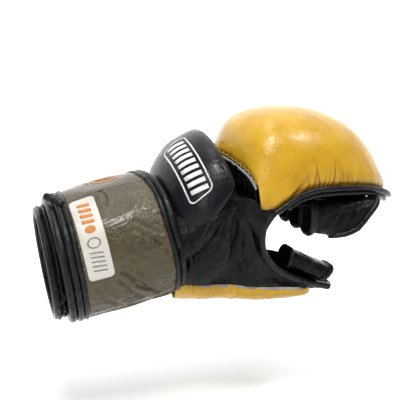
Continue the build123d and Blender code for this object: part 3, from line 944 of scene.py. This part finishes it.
# Thumb side: one folded gusset from the strap to the open lip in front. It spans four lines,
# and its folds fan out from the knuckle pad's near corner.
TOP = [(78, -36.5, 38), (88, -39, 40.5), (100, -42.5, 42.4), (112, -43.6, 44.5), (124, -45, 45),
       (132, -48, 40.5), (140, -49, 37)]
BOTTOM = [(78, -30, -19), (95, -36, -16.3), (110, -38, -14.6), (134, -38, -16.3), (163, -31, -20),
          (186, -26, -22.6)]
LIP = [(187, -26.5, -22), (170.5, -32, -17.5), (157, -36.5, -11.5), (143.5, -41, -2.5),
       (134.3, -44, 10), (132.5, -46.5, 23), (135, -48, 30), (140, -49, 37)]
FAN_X, FAN_Z = 116, 44
GU, GV = 190, 130
u, v = steps(GU)[:, None], steps(GV)[None]
rear_theta = np.linspace(radians(236), radians(146), GV)
rear_half = 40.6 - 5.5 * smooth(172, 150, np.degrees(rear_theta))
rear = cuff_point(rear_theta, strap_front(rear_theta, SLEEVE_FRONT), rear_half)
top = line_through(TOP, GU) + (rear[-1] - np.array(TOP[0])) * (1 - u) ** 3
bottom = line_through(BOTTOM, GU) + (rear[0] - np.array(BOTTOM[0])) * (1 - u) ** 3
lip = line_through(LIP, GV)
lip = lip + (bottom[-1] - lip[0]) * (1 - v.T) ** 3
u3, v3 = u[..., None], v[..., None]
patch = (between(bottom[:, None], top[:, None], v3) + between(rear[None], lip[None], u3)
         - between(between(bottom[0], bottom[-1], u3), between(top[0], top[-1], u3), v3))
belly = 4.4 * arch(np.clip(v / 0.82, 0, 1)) ** 0.8 * (0.35 + 0.65 * arch(u) ** 0.6)
px, pz = patch[..., 0], patch[..., 2]
fan, reach = np.arctan2(pz - FAN_Z, px - FAN_X), np.hypot(px - FAN_X, pz - FAN_Z)
swirl = fan * 4.6 + 0.5 * noise(px / 17, pz / 17, 0, 101)
gathers = 1.9 * np.sin(swirl * 2.35) * smooth(2, 22, reach) * (1 - 0.55 * smooth(50, 75, reach))
gathers = gathers + 1.1 * noise(fan * 9, reach / 30, 0, 102) * smooth(4, 18, reach)
deep = crease(fan * 3.1 + 0.3 * noise(px / 14, pz / 14, 0, 103), reach / 46, 0, 104, 3.2)
deep = 2.6 * deep * smooth(5, 18, reach)
calm = np.clip(np.minimum(np.minimum(u, 1 - u) * 14, np.minimum(v * 12, (1 - v) * 5)), 0, 1)
relief = belly + (gathers - deep + 0.6 * fbm(px / 9, pz / 9, 0, 105)) * calm
gusset = raised(patch, relief)
split = int(GU * 0.18)
wrist_gusset = shell("wrist_gusset", gusset[: split + 1], 1.4, BLACK)
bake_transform(wrist_gusset)
dress(wrist_gusset, "black_leather")
thumb_gusset = shell("thumb_gusset", gusset[split:], 1.4, BLACK)
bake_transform(thumb_gusset)
dress(thumb_gusset, "black_leather", "thumb_side_panel")

# ---------------- thumb
lip_cord = tube("web_lip_roll", even(gusset[-1], 90), 2.4, PIPING)
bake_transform(lip_cord)
dress(lip_cord, "black_piping", "web_piping")
CORNER_HAND, CORNER_THUMB = (150, 5, -14.5), (156, -5, -15)
tip = line_through([gusset[-1, 0], (188.5, -20, -22.6), (184, -12, -20), (170, -8, -17),
                    CORNER_THUMB], 70)
dress(tube("thumb_tip_roll", tip, 2.2, PIPING, "thumb"), "black_piping", "thumb_cradle_piping")
palm_line = line_through([CORNER_HAND, (149.5, 25, -14), (151, 40, -6), (157, 46.5, 8),
                          (163, 47, 28)], 90)
dress(tube("palm_edge_roll", palm_line, 2.2, PIPING, "hand"), "black_piping", "palm_piping")
web_line = line_through([CORNER_THUMB, (152, 0, -14.6), CORNER_HAND], 24)
web_cord = tube("web_corner_roll", web_line, 2.2, PIPING)
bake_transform(web_cord)
dress(web_cord, "black_piping")

# Yellow padding under the thumb, gathered along the gusset's lower edge
PAD_REAR, PAD_FRONT = 82.5, 170
FAR = [(PAD_REAR, -15, -23), (94, -3, -23.5), (115, 1, -22), (138, -3, -21), (158, -12, -21),
       (171, -22, -21.5)]
TU, TV, THUMB_PAD_LONG = 260, 70, 115
lower_edge = gusset[:, 0]
near_edge = even(lower_edge[(lower_edge[:, 0] > PAD_REAR) & (lower_edge[:, 0] < PAD_FRONT)], TU)
far_edge = line_through(FAR, TU)
u, v = steps(TU)[:, None], steps(TV)[None]
fullness = np.clip(arch(np.clip(0.016 + 0.955 * u, 0, 1)), 0, 1) ** 0.45
pad = between(near_edge[:, None], far_edge[:, None], ((1 - np.cos(pi * v)) / 2)[..., None])
pad[..., 2] -= 8.0 * arch(v) ** 0.75 * fullness
pad[..., 1] -= 2.6 * arch(np.clip(v * 1.6, 0, 1)) * fullness
run = u * THUMB_PAD_LONG
gather = np.zeros((TU, TV))
for k in range(34):
    where, width = draw.uniform(0, THUMB_PAD_LONG), draw.uniform(0.7, 1.6)
    gather += draw.uniform(0.3, 1.1) * bump(run, where, width) * bump(v, 0, draw.uniform(0.08, 0.3))
bulge = (gather - 0.5 * fbm(run / 12, v * 3, 0, 111)) * arch(np.clip(v * 3 + 0.1, 0, 0.5))
thumb_pad = shell("thumb_pad_leather", raised(pad, bulge), 2.2, YELLOW, out=-1.0)
thumb_welt = tube("thumb_pad_welt", near_edge + [0, -1.9, -0.3], 1.0, WELT, sides=10)

# Black backing that closes the thumb's padding on the inside
w = steps(30)[None, :, None]
backing = between(near_edge[:, None], far_edge[:, None], w) + [0, 0, 1.0]
thumb_backing = shell("thumb_pad_backing", backing, 1.0, BLACK)

# Leather floor of the thumb
u, v = steps(90)[:, None], steps(40)[None]
near_floor = even(lower_edge[int(GU * 0.2):], 90) + [0, 1.6, 2.0]
far_floor = line_through([(95, -2, -20), (125, 1, -14), (148, -6, -1), (165, -12, -6),
                          (180, -14, -13), (187.5, -20, -21)], 90)
floor_grid = between(near_floor[:, None], far_floor[:, None], v[..., None])
floor_grid[..., 2] -= 2.5 * arch(v) - 0.6 * fbm(u * 9, v * 4, 0, 112)
cradle = shell("thumb_floor_leather", floor_grid, 1.3, BLACK)
for piece, *slot_and_nodes in (
    (thumb_pad, "yellow_leather", "thumb_pad_cover", "thumb_pad_foam"),
    (thumb_welt, "yellow_leather"),
    (thumb_backing, "black_leather"),
    (cradle, "black_leather", "thumb_cradle"),
):
    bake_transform(piece)
    dress(piece, *slot_and_nodes)
# Painted shade: the yellow darkens in the gathers along the gusset's edge.
shade(thumb_pad, np.clip(gather * 0.5, 0, 0.7))


# ---------------- finger and thumb sleeves
SLEEVE_POWER = 2 / 2.9


def sleeve(digit, path, half_wide, half_high, flare, hood, y, seed, roll, rear_rolls):
    """Bent leather tube for one digit, open at its end, with a roll round each edge."""
    line = line_through([(x, y, z) for x, z in path], 200)
    run = run_along(line)
    theta, v = around(90, 90)
    c, s = np.cos(theta), np.sin(theta)
    low, near = 0.5 - 0.5 * s, 0.5 - 0.5 * c
    at = run[-1] * v * (1 - hood * low**3 - 0.6 * hood * near**1.5 * low)
    tall = half_high * (1 + flare * at / run[-1])
    forward = unit(at_run(at, run, np.gradient(line, run, axis=0)))
    up = np.stack([-forward[..., 2], np.zeros_like(at), forward[..., 0]], axis=-1)
    wrinkle = (0.5 * round_fbm(theta, 2.5, v * 6, seed)
               - 0.7 * crease(c * 1.5 + v * 2, s * 1.5, v * 7, seed + 3, 3.2) * arch(v))
    wide = signed_power(c, SLEEVE_POWER) * (half_wide + wrinkle)
    high = signed_power(s, SLEEVE_POWER) * (tall + wrinkle)
    grid = at_run(at, run, line) + SIDE * wide[..., None] + up * high[..., None]
    leather_tube = shell(f"{digit}_leather", grid, 1.4, BLACK, digit, wrap=True)
    dress(leather_tube, "black_leather", f"{digit}_sleeve")
    cords = []
    for row, grow, size in ((-1, 1.0, 1.0), (2, 1.03, 0.8), (7, 1.02, 0.65))[: 1 + rear_rolls]:
        middle = grid[row].mean(axis=0)
        ring = middle + (grid[row] - middle) * grow
        cords.append(tube("cord", ring[::3], roll * size, PIPING, closed=True))
    dress(joined(f"{digit}_rolls", cords, digit), "black_piping", f"{digit}_sleeve_piping")


FINGER = [(167, 28), (180, 27.6), (192, 26.2), (203, 24.8), (213, 23.6)]
for digit, y, seed in (("index", -33, 87), ("middle", -11.5, 109), ("ring", 10, 130), ("little", 31.5, 151)):
    sleeve(digit, FINGER, 9.7, 10.4, 0.48, 0.5, y, seed, 2.0, 2)
THUMB = [(155, 0.4), (163, -2.6), (170, -5.8), (177, -9), (184.5, -12)]
sleeve("thumb", THUMB, 10.5, 6.4, -0.2, 0.12, -25, 140, 1.5, 1)


# ---------------- stage, light and camera
def plane_backdrop():
    """Floor and wall in one sweep; it glows behind the object, as lit studio paper does."""
    profile = [(-2.2, -0.1), (0.5, -0.1), (0.75, -0.08), (0.95, 0.0), (1.05, 0.14), (1.1, 0.4), (1.1, 5.0)]
    points = [(x, y, z) for x in (-7.2, 0, 7.2) for y, z in profile]
    material, tree, shader, place = node_tree("studio_paper")
    axes = tree.nodes.new("ShaderNodeSeparateXYZ")
    tree.links.new(place, axes.inputs[0])
    glow = set_inputs(tree.nodes.new("ShaderNodeMapRange"), From_Min=-0.1, From_Max=0.25, To_Max=0.9)
    tree.links.new(axes.outputs["Y"], glow.inputs["Value"])
    tree.links.new(glow.outputs["Result"], shader.inputs["Emission Strength"])
    set_inputs(shader, Base_Color=(0.78, 0.78, 0.78, 1), Roughness=0.9,
               Emission_Color=(1, 1, 1, 1), Specular_IOR_Level=0.0)
    faces = grid_faces(3, len(profile), flip=True)
    return mesh("studio_backdrop", np.array(points) / MM, faces, material)


plane_backdrop()
world = bpy.data.worlds.new("studio_air")
world.use_nodes = True
set_inputs(world.node_tree.nodes["Background"], Color=(1, 1, 1, 1), Strength=0.22)
studio.world = world
LAMP_TARGET = Vector((0.11, 0, 0.03))
for name, where, width, height, watts in (
    ("key_softbox", (-0.08, -0.52, 0.98), 0.22, 0.22, 6.6),
    ("side_softbox", (0.62, -0.32, 0.9), 0.16, 0.16, 3.2),
    ("front_softbox", (-0.55, -0.85, 0.35), 0.4, 0.4, 2.6),
    ("top_softbox", (0.1, 0.1, 0.95), 0.4, 0.3, 1.6),
):
    lamp = bpy.data.lights.new(name, "AREA")
    lamp.shape = "RECTANGLE"
    lamp.size, lamp.size_y = width, height
    lamp.energy = watts
    holder = bpy.data.objects.new(name, lamp)
    holder.location = where
    holder.rotation_euler = (LAMP_TARGET - Vector(where)).to_track_quat("-Z", "Y").to_euler()
    studio.collection.objects.link(holder)

TARGET, DISTANCE = Vector((0.104, 0, 0.036)), 0.62
AZIMUTH, ELEVATION = radians(-15), radians(12)
back = Vector((sin(AZIMUTH) * cos(ELEVATION), -cos(AZIMUTH) * cos(ELEVATION),
               sin(ELEVATION)))
camera_data = bpy.data.cameras.new("studio_camera")
camera_data.sensor_width, camera_data.lens = 36, 83.7
camera = bpy.data.objects.new("studio_camera", camera_data)
camera.location = TARGET + back * DISTANCE
camera.rotation_euler = (-back).to_track_quat("-Z", "Y").to_euler()
studio.collection.objects.link(camera)
studio.camera = camera
studio.view_settings.view_transform = "Standard"
